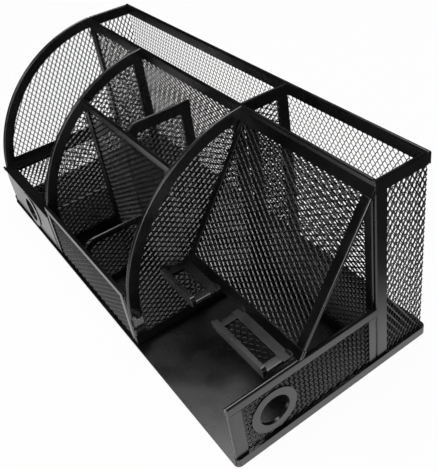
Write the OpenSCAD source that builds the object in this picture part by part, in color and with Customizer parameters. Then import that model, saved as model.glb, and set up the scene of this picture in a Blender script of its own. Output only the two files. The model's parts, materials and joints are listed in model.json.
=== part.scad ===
// Desk organizer of black expanded-metal mesh in folded steel strips, with a
// drawer at the left, pen bays at the back and a sloping phone rest at the right.
// X runs from left to right, Y from front to back and Z up. The origin is the
// bottom centre of the bounding box, on the surface that the stand rests on.

/* [Overall size] */
// Length of the base, left to right
length = 252; // [246:1:260]
// Depth of the base, front to back
depth = 108; // [104:1:112]
// Height of the back wall above the table
height = 100; // [96:1:104]

/* [Folded strip and mesh] */
// Width of the folded strip round a large panel
strip_w = 6; // [5:0.5:7]
// Width of the folded strip on the lips, the top of the low end and the like
mid_strip_w = 4.5; // [4:0.5:5]
// Width of the folded strip round a small panel
small_strip_w = 3.5; // [3.5:0.5:5]
// Thickness of a folded strip with the mesh inside it
strip_t = 2; // [1.8:0.1:2.4]
// Thickness of the expanded-metal mesh
mesh_t = 0.6; // [0.5:0.1:0.8]

/* [Base sheet] */
// Thickness of the floor of the base
floor_t = 1; // [0.8:0.1:1.2]
// Height of the rim that is turned up at the left, the back and the right
rim_h = 4.5; // [3:0.5:6]

/* [Walls and dividers] */
// Front face of the middle wall, from the front edge of the base
mid_y = 77.5; // [75:0.5:80]
// Left face of the arc divider beside the drawer, from the left edge
left_arc_x = 70; // [66:1:73]
// Left face of the arc divider beside the phone rest, from the left edge
right_arc_x = 165.5; // [162:0.5:170]
// Left face of the divider in the rear bay, from the left edge
rear_divider_x = 163.5; // [150:0.5:185]
// Height above the table at which the arc edges leave the vertical
arc_start = 16; // [12:1:20]
// Front face of the cross panel, from the front edge
cross_y = 37.5; // [34:0.5:40]
// Left face of the divider behind the cross panel, from the left edge
small_divider_x = 116; // [100:0.5:135]
// Left face of the low divider at the front, from the left edge
low_divider_x = 114; // [100:0.5:135]
// Top of the low divider above the table
low_divider_top = 32; // [28:1:34]
// Top of the front panel above the table
front_top = 34; // [32:1:38]
// Top of the low right end panel above the table
low_end_top = 35.5; // [33:0.5:38]

/* [Phone rest] */
// Distance of the foot of the sloping panel from the front edge
rest_foot_y = 35.5; // [32:0.5:38]
// Drop of the sloping panel's upper edge below the top of the middle wall
rest_top_drop = 2.5; // [1:0.5:4]
// Front face of the two lips, from the front edge
lip_y = 21; // [18:0.5:23]
// Height of the upturned front of a lip
lip_h = 5; // [4:0.5:8]
// Width of the left lip
left_lip_w = 28; // [24:1:32]
// Left edge of the right lip, from the left edge of the base
right_lip_x = 211; // [207:1:213]
// Width of the right lip
right_lip_w = 36; // [30:1:37]

/* [Drawer] */
// Underside of the mesh shelf over the drawer, above the table
shelf_z = 25; // [23:1:28]
// Gap between the drawer and what is fixed round it
drawer_gap = 0.4; // [0.3:0.05:0.6]
// Height of the drawer's side and back walls
drawer_wall_h = 3.5; // [3:0.5:6]
// Space left behind the drawer when it is shut
drawer_back_space = 3; // [2:0.5:6]

/* [Rings] */
// Radius of a ring's hole
ring_hole_r = 7.3; // [6.5:0.1:7.4]
// Outer radius of a ring
ring_r = 11.2; // [10.5:0.1:11.4]
// Centre of the right end panel's ring, from the front edge
end_ring_y = 21.8; // [19:0.1:30]
// Height of the right end panel's ring above the table
end_ring_z = 17.3; // [16:0.1:20]

/* [Hidden] */
// Hairline seam between two strips that are welded end to end
seam = 0.1;
// Depth of the slot in a strip that holds the mesh, and how far the mesh goes in
slot_depth = 3;
mesh_bite = 2.5;
// Strips of a panel are listed as the widths of its foot, top, left and right; 0 leaves one out
foot_w = rim_h - floor_t;
// Coarse diamonds that stand for the mesh's own: their pitch and the strand between them
grid_w = 21;
grid_h = 26;
grid_strand = 3;
// Solid border round the diamonds, inside the strips' slots and just beyond them
grid_border = mesh_bite + 0.5;
// Turned-up rim of the base, and the radius of its corners
rim_t = 1;
base_corner_r = 2.5;
// Faces that the walls stand against
wall_x0 = rim_t;
wall_x1 = length - rim_t;
wall_y0 = rim_t;
wall_y1 = depth - rim_t;
wall_h = height - floor_t;
mid_y1 = mid_y + strip_t;
inner_x0 = wall_x0 + strip_t;
inner_x1 = wall_x1 - strip_t;
// Arc edge of the left end and of the two arc dividers, from the walls' front corner
arc_run = mid_y + strip_t / 2 - wall_y0;
arc_rise = height - arc_start;
arc_r = (arc_run * arc_run + arc_rise * arc_rise) / (2 * arc_run);
arc_v = arc_start - floor_t;
arc_sweep = asin(arc_rise / arc_r);
// Radius of the bent corner on the two small dividers
bend_r = 7;
// Cross panel, up to the height of the arc over its front face
cross_h = arc_v + sqrt(pow(arc_r, 2) - pow(arc_r - (cross_y - wall_y0), 2));
// Sloping panel: its run, rise, length and angle
rest_x0 = right_arc_x + strip_t;
rest_run = mid_y - rest_foot_y;
rest_rise = height - rest_top_drop - low_end_top;
rest_slope = atan2(rest_rise, rest_run);
rest_len = sqrt(pow(rest_run, 2) + pow(rest_rise, 2));
rest_w = wall_x1 - rest_x0;
// Lips: their floor lies just under the foot of the sloping panel
lip_z = low_end_top - strip_t;
lip_back = rest_foot_y + strip_t / sin(rest_slope);
lip_run = lip_back - lip_y - strip_t;
// Strips of a lip: none at its upturned front, and a wide one under the foot of the slope
lip_sides = [0, mid_strip_w + lip_back - rest_foot_y, mid_strip_w, mid_strip_w];
// The sloping panel is drawn longer than it is at both ends, and cut off level and upright there
rest_tail = strip_t * cos(rest_slope) / sin(rest_slope) + 0.01;
rest_over = 1;
rest_h = rest_tail + rest_len + rest_over;
rest_sides = [strip_w, mid_strip_w + rest_over, small_strip_w, mid_strip_w];
// Shelf over the drawer
shelf_front = 0.2;
shelf_w = left_arc_x - inner_x0;
shelf_d = mid_y - shelf_front;
// Drawer, with its front between the left end and the arc divider
front_x0 = inner_x0 + drawer_gap;
front_w = left_arc_x - drawer_gap - front_x0;
drawer_z = floor_t + drawer_gap;
front_h = shelf_z - drawer_gap - drawer_z;
plate_t = 1;
box_inset = 0.6;
box_x0 = front_x0 + box_inset;
box_w = front_w - 2 * box_inset;
box_y0 = wall_y0 + plate_t;
box_d = mid_y - drawer_back_space - box_y0;
tray_t = 0.8;
drawer_ring_x = front_x0 + front_w / 2 + 1;
// Rings: a barrel through a sheet with a flange on each face
flange_t = 0.5;
barrel_t = 0.8;
// Gap between a barrel and its sheet, and room kept round a flange
barrel_gap = 0.05;
flange_room = 0.5;
ring_mesh_r = ring_hole_r + barrel_t;
// Weld beads
bead_w = 1;
bead_l = 4;

STEEL = "#232325";
MESH = "#303033";

// ---- Placing: a panel is drawn flat, u along it, v up it and w through it ----

// From the front left corner of the base to the part's own origin
module from_corner() {
  translate([-length / 2, -depth / 2, 0])
    children();
}

// A panel that faces the front: u is X, v is Z, from y to y + strip_t
module facing_front(x, y, z) {
  from_corner()
    translate([x, y + strip_t, z])
      rotate([90, 0, 0])
        children();
}

// A panel that faces the side: u is Y, v is Z, from x to x + strip_t
module facing_side(x, y, z) {
  from_corner()
    translate([x, y, z])
      rotate([90, 0, 90])
        children();
}

// A panel that lies flat: u is X, v is Y, from z to z + strip_t
module lying_flat(x, y, z) {
  from_corner()
    translate([x, y, z])
      children();
}

// Swaps u and v
module swapped() {
  mirror([1, -1, 0])
    children();
}

// ---- The folded strip ----

// Section of a strip: a half-round fold at 0 and the mesh slot at its other edge
function fold_points(steps = 6) =
  [for (i = [0 : steps]) let (a = 90 + 180 * i / steps)
    [strip_t / 2 * (1 + cos(a)), strip_t / 2 * (1 + sin(a))]];

function strip_section(w) = concat(fold_points(), [
  [w, 0],
  [w, (strip_t - mesh_t) / 2],
  [w - slot_depth, (strip_t - mesh_t) / 2],
  [w - slot_depth, (strip_t + mesh_t) / 2],
  [w, (strip_t + mesh_t) / 2],
  [w, strip_t]]);

// A straight strip along u, its fold at v = 0
module strip(len, w) {
  rotate([90, 0, 90])
    linear_extrude(height = len)
      polygon(strip_section(w));
}

// A strip bent about the origin in the plane of the panel, its fold at radius r
module bent_strip(r, w, from_angle, sweep) {
  rotate([0, 0, from_angle])
    rotate_extrude(angle = sweep, $fn = 96)
      polygon([for (p = strip_section(w)) [r - p[0], p[1]]]);
}

// ---- Rectangular panels ----

function all_round(sw) = [sw, sw, sw, sw];

// The top and the foot run through, and the posts stand between them
module frame(w, h, sides) {
  if (sides[0] > 0)
    strip(w, sides[0]);
  translate([0, h, 0])
    mirror([0, 1, 0])
      strip(w, sides[1]);
  if (sides[2] > 0)
    post(h, sides[0], sides[1], sides[2]);
  if (sides[3] > 0)
    translate([w, 0, 0])
      mirror([1, 0, 0])
        post(h, sides[0], sides[1], sides[3]);
}

// A post of width sw between a foot strip and a top strip
module post(h, foot, top, sw) {
  from = foot > 0 ? foot + seam : 0;
  translate([0, from, 0])
    swapped()
      strip(h - top - seam - from, sw);
}

// Where the mesh starts, from the edge of a panel with a strip of width sw there
function mesh_edge(sw) = max(sw - mesh_bite, 0);

// Diamonds in staggered rows over a panel
module diamonds(w, h) {
  across = ceil(w / grid_w);
  up = ceil(h / grid_h);
  half = [w / across / 2, h / up / 2];
  open = 1 - grid_strand * norm(half) / (2 * half[0] * half[1]);
  for (i = [0 : 2 * across], j = [0 : 2 * up])
    if ((i + j) % 2 == 0)
      translate([i * half[0], j * half[1]])
        polygon([for (a = [0 : 90 : 270]) [cos(a) * half[0], sin(a) * half[1]] * open]);
}

// Mesh in a panel of w by h: its outline, less the diamonds that lie in its second child
module mesh_of(w, h) {
  translate([0, 0, (strip_t - mesh_t) / 2])
    linear_extrude(height = mesh_t)
      difference() {
        children(0);
        intersection() {
          children(1);
          diamonds(w, h);
        }
      }
}

module sheet_outline(w, h, sides, inset) {
  edges = [for (sw = sides) mesh_edge(sw) + inset];
  translate([edges[2], edges[0]])
    square([w - edges[2] - edges[3], h - edges[0] - edges[1]]);
}

// The mesh of a panel, held in the strips' slots
module sheet(w, h, sides) {
  mesh_of(w, h) {
    sheet_outline(w, h, sides, 0);
    sheet_outline(w, h, sides, grid_border);
  }
}

// A ring at u, v through a sheet of thickness t whose near face is at w
module ring_at(u, v, w, t) {
  translate([u, v, w - flange_t])
    rotate_extrude($fn = 64)
      polygon([
        [ring_hole_r, 0],
        [ring_r, 0],
        [ring_r, flange_t],
        [ring_mesh_r, flange_t],
        [ring_mesh_r, flange_t + t],
        [ring_r, flange_t + t],
        [ring_r, 2 * flange_t + t],
        [ring_hole_r, 2 * flange_t + t]]);
}

// ---- Arc panels: u from the front, v from the floor ----

// What lies under an arc of radius r about the arc's centre, up to u = run
module under_arc(r, run) {
  intersection() {
    translate([arc_r, arc_v])
      circle(r = r, $fn = 96);
    translate([0, arc_v])
      square([run, arc_r]);
  }
  square([run, arc_v]);
}

// The front strip, straight over the foot strip and then bent along the arc, up to u = run
module arc_strip(run, foot) {
  translate([0, foot + seam, 0])
    swapped()
      strip(arc_v - foot - seam, strip_w);
  intersection() {
    translate([arc_r, arc_v, 0])
      bent_strip(arc_r, strip_w, 180 - arc_sweep, arc_sweep);
    translate([0, arc_v, -1])
      cube([run, arc_r, strip_t + 2]);
  }
}

// Outline of the mesh under the arc, between a foot strip and u = run
module arc_outline(run, foot, inset) {
  edge = mesh_edge(strip_w) + inset;
  intersection() {
    under_arc(arc_r - edge, run);
    translate([edge, mesh_edge(foot) + inset])
      square([run - edge, wall_h]);
  }
}

// A whole arc divider from the front to the middle wall
module arc_divider_frame() {
  run = mid_y - wall_y0;
  strip(run, strip_w);
  arc_strip(run, strip_w);
  intersection() {
    translate([run, 0, 0])
      mirror([1, 0, 0])
        post(wall_h, strip_w, 0, strip_w);
    translate([0, 0, -1])
      linear_extrude(height = strip_t + 2)
        under_arc(arc_r - strip_w - seam, run);
  }
}

module arc_divider_mesh() {
  run = mid_y - wall_y0 - mesh_edge(strip_w);
  mesh_of(run, wall_h) {
    arc_outline(run, strip_w, 0);
    arc_outline(run - grid_border, strip_w, grid_border);
  }
}

// ---- Small dividers, with a bent corner at the front and top ----

module bent_frame(w, h, sw) {
  strip(w, sw);
  translate([w, 0, 0])
    mirror([1, 0, 0])
      post(h, sw, sw, sw);
  translate([0, sw + seam, 0])
    swapped()
      strip(h - sw - seam - bend_r, sw);
  translate([bend_r, h - bend_r, 0])
    bent_strip(bend_r, sw, 90, 90);
  translate([bend_r, h, 0])
    mirror([0, 1, 0])
      strip(w - bend_r, sw);
}

module bent_outline(w, h, sw, inset) {
  edge = mesh_edge(sw) + inset;
  r = bend_r - edge;
  difference() {
    sheet_outline(w, h, all_round(sw), inset);
    if (r > 0)
      translate([edge, h - edge - r])
        difference() {
          translate([-1, 0])
            square(r + 1);
          translate([r, 0])
            circle(r = r, $fn = 48);
        }
  }
}

module bent_sheet(w, h, sw) {
  mesh_of(w, h) {
    bent_outline(w, h, sw, 0);
    bent_outline(w, h, sw, grid_border);
  }
}

// ---- Base ----

module base_outline() {
  hull()
    for (x = [base_corner_r, length - base_corner_r], y = [base_corner_r, depth - base_corner_r])
      translate([x, y])
        circle(r = base_corner_r, $fn = 24);
}

module base_sheet() {
  color(STEEL)
    from_corner() {
      linear_extrude(height = floor_t)
        base_outline();
      linear_extrude(height = rim_h)
        difference() {
          base_outline();
          translate([rim_t, -rim_t])
            square([length - 2 * rim_t, depth]);
        }
    }
}

// ---- Left end: arc in front, rectangle behind, and the bar level with the shelf ----

// The ends reach the back wall's strips, and round their corners the mesh runs on to the back wall's
end_run = wall_y1 - strip_t - wall_y0;
corner_reach = (strip_t + mesh_t) / 2;

// The mesh's way round a corner at u, between the foot strip and the top strip of the back
module corner_mesh(u) {
  translate([u, foot_w, (strip_t - mesh_t) / 2])
    cube([strip_t - corner_reach, wall_h - strip_w - foot_w, mesh_t]);
}

module left_end_frame() {
  color(STEEL)
    facing_side(wall_x0, wall_y0, floor_t) {
      strip(end_run, foot_w);
      arc_strip(arc_run, foot_w);
      translate([arc_run + 1, wall_h, 0])
        mirror([0, 1, 0])
          strip(end_run - arc_run - 1, strip_w);
      translate([strip_w, shelf_z - floor_t, corner_reach])
        cube([mid_y - wall_y0 - strip_w, strip_w, (strip_t - mesh_t) / 2]);
    }
}

module left_end_mesh() {
  edge = mesh_edge(strip_w);
  low = mesh_edge(foot_w);
  color(MESH)
    facing_side(wall_x0, wall_y0, floor_t) {
      mesh_of(end_run, wall_h) {
        union() {
          arc_outline(arc_run, foot_w, 0);
          translate([arc_run, low])
            square([end_run - arc_run, wall_h - edge - low]);
        }
        union() {
          arc_outline(arc_run, foot_w, grid_border);
          translate([arc_run, low + grid_border])
            square([end_run - arc_run - grid_border, wall_h - edge - low - 2 * grid_border]);
        }
      }
      corner_mesh(end_run);
    }
}

// ---- Back wall, middle wall, right rear end and rear divider ----

back_w = wall_x1 - wall_x0;
back_sides = [foot_w, strip_w, 0, 0];
long_w = inner_x1 - inner_x0;
mid_sides = [strip_w, strip_w, strip_w, mid_strip_w];
right_rear_sides = [foot_w, strip_w, strip_w, 0];

module back_frame() {
  color(STEEL)
    facing_front(wall_x0, wall_y1 - strip_t, floor_t)
      frame(back_w, wall_h, back_sides);
}

module back_mesh() {
  reach = (strip_t - mesh_t) / 2;
  color(MESH)
    facing_front(wall_x0 + reach, wall_y1 - strip_t, floor_t)
      sheet(back_w - 2 * reach, wall_h, back_sides);
}

module mid_wall_frame() {
  color(STEEL)
    facing_front(inner_x0, mid_y, floor_t)
      frame(long_w, wall_h, mid_sides);
}

module mid_wall_mesh() {
  color(MESH)
    facing_front(inner_x0, mid_y, floor_t)
      sheet(long_w, wall_h, mid_sides);
}

module right_rear_frame() {
  color(STEEL)
    facing_side(inner_x1, mid_y, floor_t)
      frame(wall_y1 - strip_t - mid_y, wall_h, right_rear_sides);
}

module right_rear_mesh() {
  run = wall_y1 - strip_t - mid_y;
  color(MESH)
    facing_side(inner_x1, mid_y, floor_t) {
      sheet(run, wall_h, right_rear_sides);
      corner_mesh(run);
    }
}

rear_bay_d = wall_y1 - strip_t - mid_y1;

module rear_divider_frame() {
  color(STEEL)
    facing_side(rear_divider_x, mid_y1, floor_t)
      frame(rear_bay_d, wall_h, all_round(strip_w));
}

module rear_divider_mesh() {
  color(MESH)
    facing_side(rear_divider_x, mid_y1, floor_t)
      sheet(rear_bay_d, wall_h, all_round(strip_w));
}

// ---- Arc dividers ----

module left_arc_frame() {
  color(STEEL)
    facing_side(left_arc_x, wall_y0, floor_t)
      arc_divider_frame();
}

module left_arc_mesh() {
  color(MESH)
    facing_side(left_arc_x, wall_y0, floor_t)
      arc_divider_mesh();
}

module right_arc_frame() {
  color(STEEL)
    facing_side(right_arc_x, wall_y0, floor_t)
      arc_divider_frame();
}

module right_arc_mesh() {
  color(MESH)
    facing_side(right_arc_x, wall_y0, floor_t)
      arc_divider_mesh();
}

// ---- Middle bay: cross panel, front panel and the two dividers on its centre ----

bay_x0 = left_arc_x + strip_t;
bay_w = right_arc_x - bay_x0;
cross_sides = [strip_w, mid_strip_w, strip_w, strip_w];
front_sides = [0, small_strip_w, small_strip_w, small_strip_w];

module cross_panel_frame() {
  color(STEEL)
    facing_front(bay_x0, cross_y, floor_t)
      frame(bay_w, cross_h, cross_sides);
}

module cross_panel_mesh() {
  color(MESH)
    facing_front(bay_x0, cross_y, floor_t)
      sheet(bay_w, cross_h, cross_sides);
}

small_d = mid_y - cross_y - strip_t;

module small_divider_frame() {
  color(STEEL)
    facing_side(small_divider_x, cross_y + strip_t, floor_t)
      bent_frame(small_d, cross_h, strip_w);
}

module small_divider_mesh() {
  color(MESH)
    facing_side(small_divider_x, cross_y + strip_t, floor_t)
      bent_sheet(small_d, cross_h, strip_w);
}

module front_panel_frame() {
  color(STEEL)
    facing_front(bay_x0, wall_y0, floor_t)
      frame(bay_w, front_top - floor_t, front_sides);
}

module front_panel_mesh() {
  color(MESH)
    facing_front(bay_x0, wall_y0, floor_t)
      sheet(bay_w, front_top - floor_t, front_sides);
}

low_d = cross_y - wall_y0 - strip_t;
low_h = low_divider_top - floor_t;

module low_divider_frame() {
  color(STEEL)
    facing_side(low_divider_x, wall_y0 + strip_t, floor_t)
      bent_frame(low_d, low_h, small_strip_w);
}

module low_divider_mesh() {
  color(MESH)
    facing_side(low_divider_x, wall_y0 + strip_t, floor_t)
      bent_sheet(low_d, low_h, small_strip_w);
}

// ---- Low right end, with its ring ----

low_end_d = mid_y - wall_y0;
low_end_h = low_end_top - floor_t;
low_end_sides = [foot_w, mid_strip_w, strip_w, mid_strip_w];

// Children are drawn about the middle of the ring, in the plane of the panel
module at_end_ring() {
  translate([end_ring_y - wall_y0, end_ring_z - floor_t])
    children();
}

module low_end_frame() {
  color(STEEL)
    facing_side(inner_x1, wall_y0, floor_t)
      frame(low_end_d, low_end_h, low_end_sides);
}

module low_end_mesh() {
  color(MESH)
    facing_side(inner_x1, wall_y0, floor_t)
      mesh_of(low_end_d, low_end_h) {
        difference() {
          sheet_outline(low_end_d, low_end_h, low_end_sides, 0);
          at_end_ring()
            circle(r = ring_mesh_r + barrel_gap, $fn = 64);
        }
        difference() {
          sheet_outline(low_end_d, low_end_h, low_end_sides, grid_border);
          at_end_ring()
            circle(r = ring_r + flange_room, $fn = 64);
        }
      }
}

module low_end_ring() {
  color(STEEL)
    facing_side(inner_x1, wall_y0, floor_t)
      ring_at(end_ring_y - wall_y0, end_ring_z - floor_t, (strip_t - mesh_t) / 2, mesh_t);
}

// ---- Phone rest: u is X, v runs up the slope, w comes out of its front face ----

module on_slope() {
  from_corner()
    translate([rest_x0, rest_foot_y, low_end_top])
      rotate([rest_slope, 0, 0])
        translate([0, 0, -strip_t])
          children();
}

// What is in front of the middle wall and above the low end's top
module rest_limits() {
  from_corner()
    translate([rest_x0 - 1, 0, low_end_top])
      cube([rest_w + 2, mid_y, height]);
}

module phone_rest_frame() {
  color(STEEL)
    intersection() {
      on_slope()
        translate([0, -rest_tail, 0])
          frame(rest_w, rest_h, rest_sides);
      rest_limits();
    }
}

module phone_rest_mesh() {
  color(MESH)
    on_slope()
      translate([0, -rest_tail, 0])
        sheet(rest_w, rest_h, rest_sides);
}

// ---- Lips: an upturned front, strips at the sides and the back, and mesh between ----

module lip_frame(x, w) {
  lying_flat(x, lip_y, lip_z) {
    rotate([90, 0, 0])
      translate([0, 0, -strip_t])
        linear_extrude(height = strip_t)
          lip_outline(w);
    translate([0, strip_t, 0])
      frame(w, lip_run, lip_sides);
  }
}

// The front of a lip has its two upper corners clipped round
module lip_outline(w) {
  r = 1.5;
  hull() {
    square([w, 1]);
    for (u = [r, w - r])
      translate([u, lip_h - r])
        circle(r = r, $fn = 24);
  }
}

module lip_mesh(x, w) {
  lying_flat(x, lip_y + strip_t, lip_z)
    sheet(w, lip_run, lip_sides);
}

module left_lip_frame() {
  color(STEEL)
    lip_frame(rest_x0, left_lip_w);
}

module left_lip_mesh() {
  color(MESH)
    lip_mesh(rest_x0, left_lip_w);
}

module right_lip_frame() {
  color(STEEL)
    lip_frame(right_lip_x, right_lip_w);
}

module right_lip_mesh() {
  color(MESH)
    lip_mesh(right_lip_x, right_lip_w);
}

// ---- Shelf over the drawer ----

module shelf_frame() {
  ear_d = 1.2;
  color(STEEL) {
    lying_flat(inner_x0, shelf_front, shelf_z)
      frame(shelf_w, shelf_d, all_round(strip_w));
    lying_flat(wall_x0, shelf_front, shelf_z)
      cube([strip_t, ear_d, strip_t]);
  }
}

module shelf_mesh() {
  color(MESH)
    lying_flat(inner_x0, shelf_front, shelf_z)
      sheet(shelf_w, shelf_d, all_round(strip_w));
}

// ---- Drawer: a plain front with its ring, and a shallow tray behind it ----

module drawer_front() {
  color(STEEL)
    facing_front(front_x0, wall_y0, drawer_z)
      translate([0, 0, strip_t - plate_t])
        linear_extrude(height = plate_t)
          difference() {
            square([front_w, front_h]);
            translate([drawer_ring_x - front_x0, front_h / 2])
              circle(r = ring_mesh_r + barrel_gap, $fn = 64);
          }
}

module drawer_ring() {
  color(STEEL)
    facing_front(front_x0, wall_y0, drawer_z)
      ring_at(drawer_ring_x - front_x0, front_h / 2, strip_t - plate_t, plate_t);
}

// A sheet folded up at the sides and the back, and notched in front for the ring's flange
module drawer_tray() {
  room = ring_r + flange_room;
  color(STEEL)
    lying_flat(box_x0, box_y0, drawer_z)
      difference() {
        cube([box_w, box_d, tray_t + drawer_wall_h]);
        translate([tray_t, -1, tray_t])
          cube([box_w - 2 * tray_t, box_d + 1 - tray_t, drawer_wall_h + 1]);
        translate([drawer_ring_x - box_x0 - room, -1, -1])
          cube([2 * room, 1 + flange_t + flange_room, tray_t + 2]);
      }
}

// ---- Weld beads ----

// A bead along X in the corner between a lip's floor and the sloping panel
module rest_bead(x) {
  from_corner()
    translate([x, rest_foot_y, low_end_top])
      rotate([90, 0, 90])
        linear_extrude(height = bead_l)
          polygon([[0, 0], [bead_w * cos(rest_slope), bead_w * sin(rest_slope)], [-bead_w, 0]]);
}

// A bead up the corner between a panel that faces the front and one that faces the side
module corner_bead(x, y, z, side) {
  from_corner()
    translate([x, y, z])
      linear_extrude(height = bead_l)
        polygon([[0, 0], [side * bead_w, 0], [0, -bead_w]]);
}

module weld_beads() {
  color(STEEL) {
    for (x = [rest_x0 + left_lip_w - bead_l, right_lip_x, right_lip_x + right_lip_w - bead_l])
      rest_bead(x);
    for (z = [shelf_z + 10, height - 12])
      corner_bead(inner_x0, mid_y, z, 1);
    corner_bead(right_arc_x, cross_y, 70, -1);
    corner_bead(bay_x0, cross_y, 70, 1);
  }
}

base_sheet();
left_end_frame();
left_end_mesh();
back_frame();
back_mesh();
mid_wall_frame();
mid_wall_mesh();
right_rear_frame();
right_rear_mesh();
rear_divider_frame();
rear_divider_mesh();
left_arc_frame();
left_arc_mesh();
right_arc_frame();
right_arc_mesh();
cross_panel_frame();
cross_panel_mesh();
small_divider_frame();
small_divider_mesh();
front_panel_frame();
front_panel_mesh();
low_divider_frame();
low_divider_mesh();
low_end_frame();
low_end_mesh();
low_end_ring();
phone_rest_frame();
phone_rest_mesh();
left_lip_frame();
left_lip_mesh();
right_lip_frame();
right_lip_mesh();
shelf_frame();
shelf_mesh();
drawer_front();
drawer_ring();
drawer_tray();
weld_beads();
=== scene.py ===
"""Looks of the mesh desk organizer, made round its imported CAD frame.

Every folded strip, ring, bead and plain sheet of the frame is rounded along its edges and powder
coated. Every flat CAD sheet that stands for mesh is replaced by the expanded metal itself: a lattice
of diamonds that a Geometry Nodes tree lays out inside that sheet's own outline.
Lengths are in metres, and MM turns millimetres to metres.
"""

import json
import math

import bmesh
import bpy
from mathutils import Matrix, Vector

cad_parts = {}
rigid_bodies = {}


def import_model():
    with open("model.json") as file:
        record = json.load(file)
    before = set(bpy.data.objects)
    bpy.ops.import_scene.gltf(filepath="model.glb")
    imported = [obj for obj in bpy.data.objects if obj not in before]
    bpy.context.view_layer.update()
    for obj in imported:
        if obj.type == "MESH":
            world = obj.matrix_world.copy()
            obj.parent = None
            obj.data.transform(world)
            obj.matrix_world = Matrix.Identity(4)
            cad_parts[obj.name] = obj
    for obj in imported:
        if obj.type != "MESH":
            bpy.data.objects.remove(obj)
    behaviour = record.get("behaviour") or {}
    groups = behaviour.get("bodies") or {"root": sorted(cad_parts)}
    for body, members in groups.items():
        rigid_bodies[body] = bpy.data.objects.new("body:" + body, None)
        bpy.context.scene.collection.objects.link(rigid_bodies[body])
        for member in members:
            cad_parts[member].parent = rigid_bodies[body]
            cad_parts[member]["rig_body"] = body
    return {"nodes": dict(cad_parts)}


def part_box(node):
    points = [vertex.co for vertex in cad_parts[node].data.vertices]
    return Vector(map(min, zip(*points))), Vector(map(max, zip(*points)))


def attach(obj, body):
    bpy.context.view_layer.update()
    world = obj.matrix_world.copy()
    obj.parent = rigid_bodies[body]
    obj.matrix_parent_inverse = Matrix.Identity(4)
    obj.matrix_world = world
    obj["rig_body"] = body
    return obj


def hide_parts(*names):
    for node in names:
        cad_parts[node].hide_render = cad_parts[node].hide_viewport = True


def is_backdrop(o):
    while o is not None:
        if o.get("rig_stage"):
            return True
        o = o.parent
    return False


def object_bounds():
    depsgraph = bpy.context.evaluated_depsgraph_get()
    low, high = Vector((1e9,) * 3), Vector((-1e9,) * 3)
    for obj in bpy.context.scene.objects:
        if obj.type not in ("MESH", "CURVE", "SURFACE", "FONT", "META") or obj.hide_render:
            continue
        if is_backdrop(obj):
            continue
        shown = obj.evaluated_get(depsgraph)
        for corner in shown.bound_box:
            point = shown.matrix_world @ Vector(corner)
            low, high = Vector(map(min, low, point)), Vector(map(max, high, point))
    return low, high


MM = 0.001
UP = Vector((0, 0, 1))
BACK = Vector((0, 1, 0))
# A sheet's front is the side that looks this way, which is the camera's
SEEN_FROM = Vector((1, -1, 1))

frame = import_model()
cad_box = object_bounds()

# ---- Camera: a pinhole fitted to the corners of the base, walls and shelf in the photograph ----

CAMERA_PLACE = Vector((269.8, -117.9, 242.3)) * MM
CAMERA_AIM = Vector((137.8, -33.1, 128.8)) * MM
# Turn of the camera about its own axis, in radians
CAMERA_ROLL = -0.1276
# The photograph's size, the focal length and the point that the lens looks straight at, in pixels
FRAME_WIDTH, FRAME_HEIGHT = 437, 469
FOCAL_PIXELS = 676.6
AXIS_X, AXIS_Y = 264.1, 198.8
# Width of the sensor in millimetres, on which the lens is given in millimetres too
SENSOR_WIDTH = 36.0
NEAREST_SEEN = 10 * MM

# ---- Expanded metal, measured on the walls that the camera sees square on ----

# Distance between two diamonds the short way and the long way
PITCH_ACROSS = 2.94 * MM
PITCH_UP = 4.8 * MM
# Width and thickness of a strand with its coat
STRAND_WIDTH = 0.42 * MM
STRAND_THICKNESS = 0.32 * MM
# Half the width and half the height of the knot where four strands meet
KNOT_HALF_WIDTH = 0.36 * MM
KNOT_HALF_HEIGHT = 0.3 * MM
# Height of the notch between two upper strands above the middle of the knot
NOTCH = 0.55 * MM
# A stretched knot stands at a slant: one side this far in front of the sheet, the other behind
KNOT_RISE = 0.22 * MM
# Diamonds stand on end in the sheet that runs round the back, and this turn lays the others down
LYING = Matrix.Rotation(math.pi / 2, 4, "Z")
# A knot keeps this far inside the outline of its sheet, so that a strip hides its strands' ends
KNOT_INSET = 1.25 * MM
# The rows of knots reach past the sheet by this many in all, before those outside are left out
SPARE_KNOTS = 2.0
# A ray that looks for the sheet starts this far in front of it
PROBE = 1 * MM
# A hole with more corners than this, whose reach varies by less than this, is round
DIAMOND_CORNERS = 12
ROUND_WITHIN = 0.1 * MM
# Two directions are the same if the cosine between them is above the first of these, and a sheet
# lies level if the cosine between its front and straight up is above the second
SAME_WAY = 0.99
LEVEL = 0.9
# A corner of the left end belongs to its rear edge if it is this close
AT_REAR_EDGE = 1 * MM
# The nodes of the one sheet that runs along the left end, the back and the right end of the rear bay
ROUND_BACK = ("left_end_mesh", "back_mesh", "right_rear_mesh")

# ---- Edges ----

# Radius on the edges of strips, rings and the base under their coat, and of the weld beads
EDGE_RADIUS = 0.12 * MM
BEAD_RADIUS = 0.3 * MM
# Flats round an edge, and the bevel profile that sets them on an arc
EDGE_STEPS = 2
ARC_PROFILE = 0.5
# Faces that meet at more than this angle make an edge, and the steps of a fold stay below it
EDGE_ANGLE = math.radians(40)
# Faces this close to one plane are one face
FLAT_ANGLE = math.radians(0.5)
# Rounded faces that meet at more than this angle keep a sharp line
STRIP_SHARP_ANGLE = math.radians(50)
# Faces of the expanded metal that meet at more than this angle keep a sharp line
FACET_ANGLE = math.radians(12)
# Points closer than this are one point
TOUCHING = 0.002 * MM

# ---- Coat ----

# Refractive index: polyester packed with carbon black, which is glossier than clear plastic
COAT_IOR = 1.7
# Width of the slow changes in colour and gloss, and of the lumps of orange peel
CLOUD_SIZE = 14 * MM
PEEL_SIZE = 0.7 * MM
# The coat goes from dark and smooth to pale and rough while its clouds' noise goes between these
CLOUD_LOW, CLOUD_HIGH = 0.3, 0.7
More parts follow.
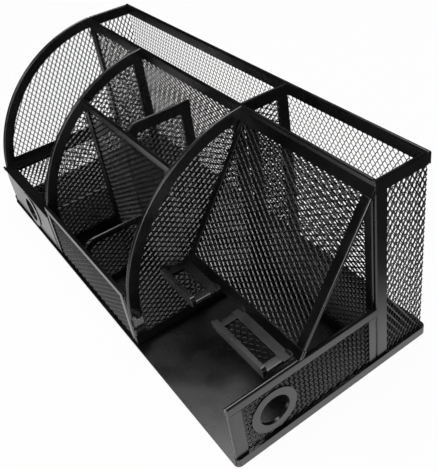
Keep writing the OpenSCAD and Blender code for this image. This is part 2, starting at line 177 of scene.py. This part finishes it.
# Octaves of the clouds and of the peel, and the share of its height that the peel shows
CLOUD_DETAIL, PEEL_DETAIL = 3.0, 1.0
PEEL_STRENGTH = 0.5
# Each coat's darkest and palest colour, its roughness where dark and where pale, and its peel's height
COATS = {
    "strip": {
        "dark": 0x090909,
        "pale": 0x101011,
        "smooth": 0.24,
        "rough": 0.32,
        "peel_height": 0.012 * MM,
    },
    # The weld beads' paler colour is a painted glint, added to the real highlights of their smoother
    # coat
    "weld_bead_painted_glint": {
        "dark": 0x181819,
        "pale": 0x2A2A2C,
        "smooth": 0.14,
        "rough": 0.2,
        "peel_height": 0.02 * MM,
    },
    "expanded_metal": {
        "dark": 0x080808,
        "pale": 0x0E0E0F,
        "smooth": 0.24,
        "rough": 0.32,
        "peel_height": 0.006 * MM,
    },
}

# ---- Light ----

# How far the floor reaches from the stand's middle, and how far under the base it lies
FLOOR_REACH = 1.5
FLOOR_DROP = 0.05 * MM
WHITE = 0xFFFFFF
FLOOR_COLOUR = 0xF0F0F0
# Share of plain white in the floor as the camera sees it, over its shadow
FLOOR_WHITE = 0.97
# What the steel mirrors of the floor is a painted reflection. It is painted light, white round the
# stand, and painted shade far off at the front left and behind on the right, where the stand's shadow
# falls.
# A stop is a place between 0 and 1 on the way that runs from the front left to the rear right,
# FLOOR_FADE long either side of the stand's middle.
FLOOR_PAINTED_REFLECTION = ((0.05, 0x202020), (0.2, 0xFFFFFF), (0.71, 0xFFFFFF), (0.78, 0x404040))
FLOOR_FADE = 0.3
FADE_WAY = (math.sqrt(0.5), math.sqrt(0.5), 0.0)
# Shades of the air round the stand, from 0 straight down over 0.5 at the horizon to 1 straight up
AIR = ((0.49, 0x808080), (0.51, 0x0C0C0C), (0.85, 0x202020), (0.95, 0x606060))
# Softboxes: place, width and watts. One hangs in front, one stands low at the right, one hangs above.
SOFTBOXES = {
    "front": ((0.02, -0.62, 0.68), 0.2, 1.4),
    "right": ((0.85, -0.28, 0.15), 0.45, 3.2),
    "top": ((-0.15, 0.1, 0.9), 0.5, 4.5),
}

# ---- Node trees ----

# Sockets of a node that mixes colours: the colour it goes from, the colour it goes to and the mixture
MIX_FROM, MIX_TO, MIXED = 6, 7, 2


def add_node(tree, kind, settings=None, inputs=None):
    """A node with its settings. An input takes a value, a socket to link, or a list of sockets."""
    node = tree.nodes.new(kind)
    for name, value in (settings or {}).items():
        setattr(node, name, value)
    for key, value in (inputs or {}).items():
        for source in value if isinstance(value, list) else [value]:
            if isinstance(source, bpy.types.NodeSocket):
                tree.links.new(source, node.inputs[key])
            else:
                node.inputs[key].default_value = source
    return node


def calculate(tree, operation, *values):
    """What a math node gives for its values."""
    node = add_node(tree, "ShaderNodeMath", {"operation": operation}, dict(enumerate(values)))
    return node.outputs[0]


def compare(tree, operation, value, limit):
    """What a compare node gives for a value and its limit."""
    node = add_node(
        tree,
        "FunctionNodeCompare",
        {"data_type": "FLOAT", "operation": operation},
        {0: value, 1: limit},
    )
    return node.outputs["Result"]


def linear(hex_colour):
    """An sRGB hex value such as 0x2A2A2C as linear red, green and blue, with full alpha."""
    channels = [(hex_colour >> shift & 0xFF) / 255 for shift in (16, 8, 0)]
    return (*[c / 12.92 if c <= 0.04045 else ((c + 0.055) / 1.055) ** 2.4 for c in channels], 1.0)


def colour_ramp(tree, value, stops):
    """The colour that a ramp of (position, sRGB hex) stops gives for a value between 0 and 1."""
    node = add_node(tree, "ShaderNodeValToRGB", inputs={"Fac": value})
    elements = node.color_ramp.elements
    for i, (position, shade) in enumerate(stops):
        stop = elements[i] if i < len(elements) else elements.new(position)
        stop.position, stop.color = position, linear(shade)
    return node.outputs["Color"]


# ---- Materials ----


def powder_coated_steel(name, dark, pale, smooth, rough, peel_height):
    """Folded mild steel under sprayed and baked black powder coat, which gives the eye a near black
    with soft satin highlights, clouded a little where the powder lies thicker, and broken up close
    to by the fine lumps of its orange peel."""
    material = bpy.data.materials.new(name)
    material.use_nodes = True
    tree = material.node_tree
    coat = tree.nodes["Principled BSDF"]
    place = add_node(tree, "ShaderNodeTexCoord").outputs["Object"]
    clouds = add_node(
        tree,
        "ShaderNodeTexNoise",
        inputs={"Vector": place, "Scale": 1 / CLOUD_SIZE, "Detail": CLOUD_DETAIL},
    )
    peel = add_node(
        tree,
        "ShaderNodeTexNoise",
        inputs={"Vector": place, "Scale": 1 / PEEL_SIZE, "Detail": PEEL_DETAIL},
    )
    colour = colour_ramp(tree, clouds.outputs["Fac"], ((CLOUD_LOW, dark), (CLOUD_HIGH, pale)))
    gloss = add_node(
        tree,
        "ShaderNodeMapRange",
        inputs={
            "Value": clouds.outputs["Fac"],
            "From Min": CLOUD_LOW,
            "From Max": CLOUD_HIGH,
            "To Min": smooth,
            "To Max": rough,
        },
    )
    bump = add_node(
        tree,
        "ShaderNodeBump",
        inputs={"Strength": PEEL_STRENGTH, "Distance": peel_height, "Height": peel.outputs["Fac"]},
    )
    tree.links.new(colour, coat.inputs["Base Color"])
    tree.links.new(gloss.outputs["Result"], coat.inputs["Roughness"])
    tree.links.new(bump.outputs["Normal"], coat.inputs["Normal"])
    coat.inputs["IOR"].default_value = COAT_IOR
    return material


# ---- Expanded metal ----


def knot_outline(rise):
    """One knot and the four half strands that leave it, anticlockwise from the right side, with the
    height of each point above the sheet. A half strand ends halfway to the next knot, in the plane
    of the sheet, and slants across its width as the knot does."""
    middle = Vector((PITCH_ACROSS / 4, PITCH_UP / 4))
    aside = Vector((middle.y, -middle.x)).normalized() * STRAND_WIDTH / 2
    slant = rise / KNOT_HALF_WIDTH
    outer, inner = middle + aside, middle - aside
    quarter = [
        (KNOT_HALF_WIDTH, KNOT_HALF_HEIGHT, rise),
        (outer.x, outer.y, slant * (outer.x - middle.x)),
        (inner.x, inner.y, slant * (inner.x - middle.x)),
    ]
    right = [Vector((x, -y, z)) for x, y, z in reversed(quarter)]
    right += [Vector(point) for point in quarter]
    left = [Vector((-point.x, -point.y, -point.z)) for point in right]
    return right, left


def make_knot(rise):
    """The repeated shape of the expanded metal: a knot and its four half strands, with open ends."""
    right, left = knot_outline(rise)
    top, bottom = Vector((0, NOTCH, 0)), Vector((0, -NOTCH, 0))
    ring = right + [top] + left + [bottom]
    mesh = bmesh.new()
    half = Vector((0, 0, STRAND_THICKNESS / 2))
    front = [mesh.verts.new(point + half) for point in ring]
    rear = [mesh.verts.new(point - half) for point in ring]
    # Places in the ring: 0 to 5 are the right side, 6 is the top notch, 7 to 12 are the left side and
    # 13 is the lower notch
    strands = [(3, 4, 5, 6), (13, 0, 1, 2), (6, 7, 8, 9), (10, 11, 12, 13)]
    for loop in strands + [(2, 3, 6, 9, 10, 13)]:
        mesh.faces.new([front[i] for i in loop])
        mesh.faces.new([rear[i] for i in reversed(loop)])
    strand_ends = {(0, 1), (4, 5), (7, 8), (11, 12)}
    for i in range(len(ring)):
        j = (i + 1) % len(ring)
        if (i, j) not in strand_ends:
            mesh.faces.new([front[i], rear[i], rear[j], front[j]])
    data = bpy.data.meshes.new("knot")
    mesh.to_mesh(data)
    mesh.free()
    knot = bpy.data.objects.new("knot", data)
    bpy.context.scene.collection.objects.link(knot)
    return knot


def staggered_rows(tree, given):
    """Points on two grids that cover the sheet, the second of them between the points of the first."""
    box = add_node(tree, "GeometryNodeBoundBox", inputs={"Geometry": given["Sheet"]}).outputs
    size = add_node(
        tree, "ShaderNodeVectorMath", {"operation": "SUBTRACT"}, {0: box["Max"], 1: box["Min"]}
    )
    extent = add_node(tree, "ShaderNodeSeparateXYZ", inputs={"Vector": size.outputs["Vector"]})

    def span(length, pitch):
        """How many knots cover a length with some to spare, and how far they reach."""
        steps = calculate(tree, "DIVIDE", length, pitch)
        count = calculate(tree, "ADD", calculate(tree, "CEIL", steps), SPARE_KNOTS)
        gaps = calculate(tree, "SUBTRACT", count, 1.0)
        return count, calculate(tree, "MULTIPLY", gaps, pitch)

    across, reach_across = span(extent.outputs["X"], given["Pitch across"])
    up, reach_up = span(extent.outputs["Y"], given["Pitch up"])
    rows = add_node(
        tree,
        "GeometryNodeMeshGrid",
        inputs={"Size X": reach_across, "Size Y": reach_up, "Vertices X": across, "Vertices Y": up},
    ).outputs["Mesh"]
    half_across = calculate(tree, "MULTIPLY", given["Pitch across"], 0.5)
    half_up = calculate(tree, "MULTIPLY", given["Pitch up"], 0.5)
    stagger = add_node(tree, "ShaderNodeCombineXYZ", inputs={"X": half_across, "Y": half_up})
    rows_between = add_node(
        tree,
        "GeometryNodeTransform",
        inputs={"Geometry": rows, "Translation": stagger.outputs["Vector"]},
    ).outputs["Geometry"]
    joined = add_node(tree, "GeometryNodeJoinGeometry", inputs={"Geometry": [rows, rows_between]})
    return joined.outputs["Geometry"]


def well_inside(tree, given):
    """Is a place inside the sheet's outline, and clear of it by the inset?"""
    # Inside: a ray dropped on the sheet from in front of it hits
    position = add_node(tree, "GeometryNodeInputPosition").outputs["Position"]
    ahead = add_node(
        tree, "ShaderNodeVectorMath", {"operation": "ADD"}, {0: position, 1: (0.0, 0.0, PROBE)}
    )
    drop = add_node(
        tree,
        "GeometryNodeRaycast",
        inputs={
            "Target Geometry": given["Sheet"],
            "Source Position": ahead.outputs["Vector"],
            "Ray Direction": (0.0, 0.0, -1.0),
            "Ray Length": 2 * PROBE,
        },
    )
    # Clear of the edge: the outline is the edges that have fewer than two faces
    faces = add_node(tree, "GeometryNodeInputMeshEdgeNeighbors").outputs["Face Count"]
    outline = add_node(
        tree,
        "GeometryNodeMeshToCurve",
        inputs={"Mesh": given["Sheet"], "Selection": compare(tree, "LESS_THAN", faces, 2.0)},
    )
    wire = add_node(tree, "GeometryNodeCurveToMesh", inputs={"Curve": outline.outputs["Curve"]})
    nearest = add_node(
        tree, "GeometryNodeProximity", {"target_element": "EDGES"}, {0: wire.outputs["Mesh"]}
    )
    clear = compare(tree, "GREATER_THAN", nearest.outputs["Distance"], given["Inset"])
    both = add_node(
        tree, "FunctionNodeBooleanMath", {"operation": "AND"}, {0: drop.outputs["Is Hit"], 1: clear}
    )
    return both.outputs["Boolean"]


def expanded_metal_tree():
    """A tree that lays knots in staggered rows over a flat sheet and keeps those inside its outline."""
    tree = bpy.data.node_groups.new("expanded_metal", "GeometryNodeTree")
    for name, kind in (
        ("Sheet", "NodeSocketGeometry"),
        ("Knot", "NodeSocketObject"),
        ("Pitch across", "NodeSocketFloat"),
        ("Pitch up", "NodeSocketFloat"),
        ("Inset", "NodeSocketFloat"),
        ("Coat", "NodeSocketMaterial"),
    ):
        tree.interface.new_socket(name, in_out="INPUT", socket_type=kind)
    tree.interface.new_socket("Lattice", in_out="OUTPUT", socket_type="NodeSocketGeometry")
    given = add_node(tree, "NodeGroupInput").outputs
    shape = add_node(tree, "GeometryNodeObjectInfo", inputs={"Object": given["Knot"]})
    knots = add_node(
        tree,
        "GeometryNodeInstanceOnPoints",
        inputs={
            "Points": staggered_rows(tree, given),
            "Selection": well_inside(tree, given),
            "Instance": shape.outputs["Geometry"],
        },
    )
    real = add_node(
        tree, "GeometryNodeRealizeInstances", inputs={"Geometry": knots.outputs["Instances"]}
    )
    coated = add_node(
        tree,
        "GeometryNodeSetMaterial",
        inputs={"Geometry": real.outputs["Geometry"], "Material": given["Coat"]},
    )
    add_node(tree, "NodeGroupOutput", inputs={"Lattice": coated.outputs["Geometry"]})
    return tree


def islands(mesh):
    """The faces of each separate solid in a mesh whose doubles are merged. They wait in a dict and not
    in a set, because its order is the same each run."""
    waiting = dict.fromkeys(mesh.faces)
    while waiting:
        found = [waiting.popitem()[0]]
        for face in found:
            for edge in face.edges:
                for other in edge.link_faces:
                    if other in waiting:
                        del waiting[other]
                        found.append(other)
        yield found


def sheet_place(faces):
    """Where a flat sheet lies: its own u along it, v up it and w out of its front, about its middle."""
    widest = max(faces, key=lambda face: face.calc_area()).normal
    through = widest if widest.dot(SEEN_FROM) > 0 else -widest
    up = BACK if abs(through.dot(UP)) > LEVEL else UP
    up = (up - through * through.dot(up)).normalized()
    along = up.cross(through)
    turn = Matrix((along, up, through)).transposed()
    corners = [turn.transposed() @ corner.co for face in faces for corner in face.verts]
    low = Vector([min(corner[i] for corner in corners) for i in range(3)])
    high = Vector([max(corner[i] for corner in corners) for i in range(3)])
    return Matrix.Translation(turn @ ((low + high) / 2)) @ turn.to_4x4()


def outlines(faces, place):
    """The closed outlines of a sheet's front face, in its own coordinates, the widest one first."""
    to_sheet = place.inverted()
    through = place.to_3x3() @ UP
    front = dict.fromkeys(face for face in faces if face.normal.dot(through) > SAME_WAY)
    links = {}
    for face in front:
        for edge in face.edges:
            if sum(near in front for near in edge.link_faces) == 1:
                one, other = edge.verts
                links.setdefault(one, []).append(other)
                links.setdefault(other, []).append(one)
    loops = []
    while links:
        corner = next(iter(links))
        loop = []
        while corner:
            loop.append((to_sheet @ corner.co).to_2d())
            corner = next((near for near in links.pop(corner) if near in links), None)
        loops.append(loop)
    return sorted(loops, key=width, reverse=True)


def width(loop):
    """How far an outline reaches across its sheet."""
    return max(point.x for point in loop) - min(point.x for point in loop)


def is_round(loop):
    """Is an outline the hole for a ring, and not one of the coarse diamonds of the CAD sheet?"""
    middle = sum(loop, Vector((0, 0))) / len(loop)
    reach = [(point - middle).length for point in loop]
    return len(loop) > DIAMOND_CORNERS and max(reach) - min(reach) < ROUND_WITHIN


def flat_sheet(loops):
    """A flat mesh that fills its first outline, but for the others."""
    flat = bmesh.new()
    for loop in loops:
        corners = [flat.verts.new((point.x, point.y, 0)) for point in loop]
        for i, corner in enumerate(corners):
            flat.edges.new((corners[i - 1], corner))
    bmesh.ops.remove_doubles(flat, verts=flat.verts, dist=TOUCHING)
    bmesh.ops.triangle_fill(flat, edges=flat.edges, use_beauty=True)
    data = bpy.data.meshes.new("sheet")
    flat.to_mesh(data)
    flat.free()
    return data


def lattice(sheet, settings, tree):
    """The expanded metal inside one flat sheet, in the sheet's coordinates."""
    carrier = bpy.data.objects.new("sheet", sheet)
    bpy.context.scene.collection.objects.link(carrier)
    maker = carrier.modifiers.new("expanded_metal", "NODES")
    maker.node_group = tree
    for item in tree.interface.items_tree:
        if item.name in settings:
            maker[item.identifier] = settings[item.name]
    evaluated = carrier.evaluated_get(bpy.context.evaluated_depsgraph_get())
    made = bpy.data.meshes.new_from_object(evaluated)
    bpy.data.objects.remove(carrier)
    return made


def close_strands(mesh):
    """Joins each half strand to its neighbour, and caps the ends that have no neighbour."""
    bmesh.ops.remove_doubles(mesh, verts=mesh.verts, dist=TOUCHING)
    open_edges = [edge for edge in mesh.edges if edge.is_boundary]
    bmesh.ops.holes_fill(mesh, edges=open_edges, sides=0)


def merged(node):
    """A CAD node's mesh with its doubles merged."""
    solid = bmesh.new()
    solid.from_mesh(frame["nodes"][node].data)
    bmesh.ops.remove_doubles(solid, verts=solid.verts, dist=TOUCHING)
    return solid


def finish_lattice(mesh, node, coat):
    """The knots and strands keep their facets, each of which catches the light in its own way."""
    finish_piece(mesh, node.replace("_mesh", "_lattice"), node, coat, FACET_ANGLE)


def weave(node, settings, tree):
    """Expanded metal in place of one CAD node of flat sheets."""
    solid = merged(node)
    whole = bmesh.new()
    for faces in islands(solid):
        place = sheet_place(faces) @ LYING
        outer, *holes = outlines(faces, place)
        made = lattice(flat_sheet([outer, *filter(is_round, holes)]), settings, tree)
        made.transform(place)
        whole.from_mesh(made)
    solid.free()
    close_strands(whole)
    finish_lattice(whole, node, settings["Coat"])


def cut_away(mesh, x, way):
    """Cuts a mesh at x and clears what lies to the right, if way is 1, or to the left, if it is -1."""
    bmesh.ops.bisect_plane(
        mesh,
        geom=[*mesh.verts, *mesh.edges, *mesh.faces],
        plane_co=(x, 0, 0),
        plane_no=(way, 0, 0),
        clear_outer=True,
    )


def weave_round_back(left, back, right, settings, tree):
    """One sheet of expanded metal along the left end, round the corner, along the back, round the
    next corner and along the right end: woven flat, cut into a piece a node, and folded."""
    left_box, back_box, right_box = (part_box(node) for node in (left, back, right))
    x_left, x_right = ((low.x + high.x) / 2 for low, high in (left_box, right_box))
    y_front, y_back = left_box[0].y, (back_box[0].y + back_box[1].y) / 2
    first_fold = y_back - y_front
    second_fold = first_fold + x_right - x_left
    end = second_fold + y_back - right_box[0].y

    # The flat sheet is the left end's, drawn on from its rear edge as far as the right end's front edge
    solid = merged(left)
    place = sheet_place(solid.faces)
    corners = [place @ point.to_3d() for point in outlines(solid.faces, place)[0]]
    solid.free()
    rear_edge = left_box[1].y - AT_REAR_EDGE
    middle = Vector((end / 2, (left_box[0].z + left_box[1].z) / 2, 0))
    outline = [
        Vector((end if corner.y > rear_edge else corner.y - y_front, corner.z, 0)) - middle
        for corner in corners
    ]
    made = lattice(flat_sheet([outline]), settings, tree)

    # The sheet's two ends need no cut, so the cuts there are made in the open, far beyond them
    for node, start, stop, folded in (
        (left, -end, first_fold, lambda u, v, w: (x_left + w, y_front + u, v)),
        (back, first_fold, second_fold, lambda u, v, w: (x_left + u - first_fold, y_back - w, v)),
        (right, second_fold, 2 * end, lambda u, v, w: (x_right - w, y_back - u + second_fold, v)),
    ):
        piece = bmesh.new()
        piece.from_mesh(made)
        close_strands(piece)
        cut_away(piece, start - middle.x, -1)
        cut_away(piece, stop - middle.x, 1)
        close_strands(piece)
        for corner in piece.verts:
            corner.co = folded(*(corner.co + middle))
        finish_lattice(piece, node, settings["Coat"])


# ---- Folded strips, rings, beads and plain sheets ----


def rounded(node, coat, radius):
    """A copy of a CAD node with its edges rounded, in place of the node."""
    solid = merged(node)
    bmesh.ops.dissolve_limit(
        solid, angle_limit=FLAT_ANGLE, verts=solid.verts, edges=solid.edges, delimit=set()
    )
    sharp = [edge for edge in solid.edges if edge.is_manifold and edge.calc_face_angle() > EDGE_ANGLE]
    bmesh.ops.bevel(
        solid,
        geom=sharp,
        offset=radius,
        segments=EDGE_STEPS,
        affect="EDGES",
        profile=ARC_PROFILE,
        clamp_overlap=True,
    )
    piece = finish_piece(solid, node + "_steel", node, coat, STRIP_SHARP_ANGLE)
    weighted = piece.modifiers.new("flat_faces_stay_flat", "WEIGHTED_NORMAL")
    weighted.keep_sharp = True


def finish_piece(mesh, name, node, coat, sharp_angle):
    """A smooth shaded piece with its material, which stands for a CAD node and rides as it does."""
    data = bpy.data.meshes.new(name)
    mesh.to_mesh(data)
    mesh.free()
    data.shade_smooth()
    data.set_sharp_from_angle(angle=sharp_angle)
    data.materials.clear()
    data.materials.append(coat)
    piece = bpy.data.objects.new(name, data)
    bpy.context.scene.collection.objects.link(piece)
    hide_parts(node)
    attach(piece, frame["nodes"][node]["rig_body"])
    return piece


def dress_frame():
    """A looks piece for every CAD node: expanded metal for mesh sheets, rounded steel for the rest."""
    coats = {
        name: powder_coated_steel("powder_coated_" + name, **look) for name, look in COATS.items()
    }
    tree = expanded_metal_tree()
    shared = {
        "Pitch across": PITCH_ACROSS,
        "Pitch up": PITCH_UP,
        "Inset": KNOT_INSET,
        "Coat": coats["expanded_metal"],
    }
    on_end = shared | {"Knot": make_knot(KNOT_RISE)}
    # The knots of a sheet whose diamonds lie look a little upward
    lying = shared | {"Knot": make_knot(-KNOT_RISE)}
    weave_round_back(*ROUND_BACK, on_end, tree)
    for node in sorted(frame["nodes"]):
        if node in ROUND_BACK:
            continue
        if node.endswith("_mesh"):
            weave(node, lying, tree)
        # Weld beads get the paler coat, whose colour is a painted glint
        elif node == "weld_beads":
            rounded(node, coats["weld_bead_painted_glint"], BEAD_RADIUS)
        else:
            rounded(node, coats["strip"], EDGE_RADIUS)
    for settings in (on_end, lying):
        bpy.data.objects.remove(settings["Knot"])


# ---- Studio ----


def make_camera():
    """The camera of the photograph: aimed, then rolled, with its frame shifted off the lens axis."""
    forward = (CAMERA_AIM - CAMERA_PLACE).normalized()
    right = forward.cross(UP).normalized()
    above = right.cross(forward)
    turn = Matrix((right, above, -forward)).transposed()
    data = bpy.data.cameras.new("camera")
    # The sensor's width is fitted to the longer side of the frame, which is its height
    data.sensor_width = SENSOR_WIDTH
    data.lens = data.sensor_width * FOCAL_PIXELS / FRAME_HEIGHT
    data.shift_x = (FRAME_WIDTH / 2 - AXIS_X) / FRAME_HEIGHT
    data.shift_y = (AXIS_Y - FRAME_HEIGHT / 2) / FRAME_HEIGHT
    data.clip_start = NEAREST_SEEN
    camera = bpy.data.objects.new("camera", data)
    roll = Matrix.Rotation(CAMERA_ROLL, 4, "Z")
    camera.matrix_world = Matrix.Translation(CAMERA_PLACE) @ turn.to_4x4() @ roll
    bpy.context.scene.collection.objects.link(camera)
    bpy.context.scene.camera = camera


def white_to_camera(tree, rays, shade):
    """White for the rays that leave the camera, and a shade for all others."""
    node = add_node(
        tree,
        "ShaderNodeMix",
        {"data_type": "RGBA"},
        {0: rays["Is Camera Ray"], MIX_FROM: shade, MIX_TO: linear(WHITE)},
    )
    return node.outputs[MIXED]


def pale_floor():
    """White to the camera but for the stand's own faint shadow. To steel that mirrors it, a painted
    reflection, white round the stand with painted shade far off. Matt to all other light."""
    material = bpy.data.materials.new("pale_floor")
    material.use_nodes = True
    tree = material.node_tree
    tree.nodes.clear()
    rays = add_node(tree, "ShaderNodeLightPath").outputs
    place = add_node(tree, "ShaderNodeTexCoord").outputs["Object"]
    way = add_node(tree, "ShaderNodeVectorMath", {"operation": "DOT_PRODUCT"}, {0: place, 1: FADE_WAY})
    along = add_node(
        tree,
        "ShaderNodeMapRange",
        inputs={"Value": way.outputs["Value"], "From Min": -FLOOR_FADE, "From Max": FLOOR_FADE},
    )
    # The painted reflection that steel sees: white round the stand, with painted shade far off and
    # behind on the right
    painted_reflection = colour_ramp(tree, along.outputs["Result"], FLOOR_PAINTED_REFLECTION)
    seen = white_to_camera(tree, rays, painted_reflection)
    glow = add_node(tree, "ShaderNodeEmission", inputs={"Color": seen})
    matt = add_node(tree, "ShaderNodeBsdfDiffuse", inputs={"Color": linear(FLOOR_COLOUR)})
    share = calculate(tree, "MULTIPLY_ADD", rays["Is Camera Ray"], FLOOR_WHITE, rays["Is Glossy Ray"])
    mixed = add_node(
        tree,
        "ShaderNodeMixShader",
        inputs={0: share, 1: matt.outputs["BSDF"], 2: glow.outputs["Emission"]},
    )
    add_node(tree, "ShaderNodeOutputMaterial", inputs={"Surface": mixed.outputs["Shader"]})
    return material


def make_floor():
    """A square floor just under the base, which is staged and no part of the stand."""
    data = bpy.data.meshes.new("floor")
    sides = ((-1, -1), (1, -1), (1, 1), (-1, 1))
    corners = [(x * FLOOR_REACH, y * FLOOR_REACH, -FLOOR_DROP) for x, y in sides]
    data.from_pydata(corners, [], [(0, 1, 2, 3)])
    data.materials.append(pale_floor())
    floor = bpy.data.objects.new("floor", data)
    bpy.context.scene.collection.objects.link(floor)
    floor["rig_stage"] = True


def make_world():
    """Air that the camera sees as white. To the stand it is grey below the horizon, where the floor
    runs on, nearly black from the horizon up, and paler overhead."""
    world = bpy.data.worlds.new("studio")
    bpy.context.scene.world = world
    world.use_nodes = True
    tree = world.node_tree
    tree.nodes.clear()
    place = add_node(tree, "ShaderNodeTexCoord").outputs["Generated"]
    height = add_node(tree, "ShaderNodeSeparateXYZ", inputs={"Vector": place})
    share = add_node(
        tree,
        "ShaderNodeMapRange",
        inputs={"Value": height.outputs["Z"], "From Min": -1.0, "From Max": 1.0},
    )
    air = colour_ramp(tree, share.outputs["Result"], AIR)
    rays = add_node(tree, "ShaderNodeLightPath").outputs
    light = add_node(tree, "ShaderNodeBackground", inputs={"Color": white_to_camera(tree, rays, air)})
    add_node(tree, "ShaderNodeOutputWorld", inputs={"Surface": light.outputs["Background"]})


def make_softbox(name, place, side, watts):
    """A square softbox that faces the stand."""
    data = bpy.data.lights.new(name, "AREA")
    data.size = side
    data.energy = watts
    light = bpy.data.objects.new(name, data)
    light.location = place
    light.rotation_euler = (-Vector(place)).to_track_quat("-Z", "Y").to_euler()
    bpy.context.scene.collection.objects.link(light)


def write_sizes():
    """The CAD box and the box of the dressed object as lists of numbers, which are not written
    anywhere.
    """
    boxes = {"cad": cad_box, "visual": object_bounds()}
    {name: [list(corner) for corner in box] for name, box in boxes.items()}


bpy.context.scene.view_settings.view_transform = "Standard"
make_camera()
make_floor()
make_world()
for name, (place, side, watts) in SOFTBOXES.items():
    make_softbox(name, place, side, watts)
dress_frame()
write_sizes()
